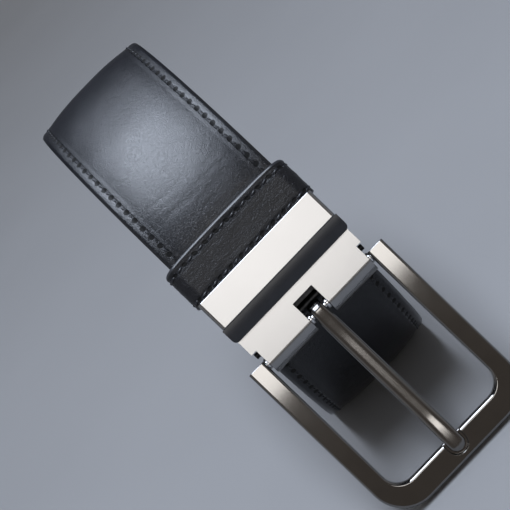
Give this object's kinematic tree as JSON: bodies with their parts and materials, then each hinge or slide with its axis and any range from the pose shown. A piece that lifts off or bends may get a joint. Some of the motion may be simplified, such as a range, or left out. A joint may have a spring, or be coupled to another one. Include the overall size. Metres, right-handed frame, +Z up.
{
  "type": "leather dress belt",
  "caption": "Rolled black leather dress belt standing on its rim, with stitched edges, a leather keeper, a satin metal keeper and a clamp buckle with a hinged frame and prong.",
  "frame": {"origin": "middle of the belt's box, on the surface that it stands on", "axes": "+Z up; X across the strap, along the roll's axis; the buckle faces -Y and the back of the roll is at +Y"},
  "size_m": [0.0456, 0.1376, 0.1117],
  "materials": {
    "face_leather": "black pebble-grain calf leather, satin, padded and crowned",
    "lining_leather": "black smooth lining leather, matt",
    "filler": "bonded fibre filler, hidden",
    "thread": "waxed black thread",
    "keeper_leather": "black pebble-grain leather with a grey painted edge",
    "sleeve_black": "smooth black, satin",
    "satin_metal": "satin nickel, fine brushed",
    "gunmetal": "satin gunmetal plate",
    "black_oxide": "black oxide on steel, satin",
    "pin_steel": "bright steel"
  },
  "bodies": {
    "belt": {"strap_face": "face_leather", "strap_filler": "filler", "strap_lining": "lining_leather", "strap_thread": "thread", "metal_keeper": "satin_metal", "keeper_sleeve": "sleeve_black", "housing_cover": "satin_metal", "clamp_pin": "black_oxide", "hinge_axle": "pin_steel", "prong_spacers": "pin_steel", "frame_washers": "pin_steel"},
    "keeper": {"leather_keeper": "keeper_leather", "keeper_thread": "thread", "keeper_staple": "pin_steel"},
    "lever": {"clamp_lever": "black_oxide"},
    "frame": {"buckle_frame": "gunmetal"},
    "prong": {"prong": "gunmetal"}
  },
  "joints": [
    {"name": "frame_hinge", "type": "hinge", "parent": "belt", "child": "frame", "pos_m": [0, -0.04994, 0.04763], "axis": [-1, 0, 0], "range_deg": [-45, 35]},
    {"name": "prong_hinge", "type": "hinge", "parent": "frame", "child": "prong", "pos_m": [0, -0.04994, 0.04763], "axis": [-1, 0, 0], "range_deg": [0, 85]},
    {"name": "keeper_travel", "type": "hinge", "parent": "belt", "child": "keeper", "pos_m": [0, 0.01182, 0.05468], "axis": [-1, 0, 0], "range_deg": [0, 150]},
    {"name": "clamp_hinge", "type": "hinge", "parent": "belt", "child": "lever", "pos_m": [0, -0.04541, 0.0493], "axis": [-1, 0, 0], "range_deg": [0, 14]}
  ]
}
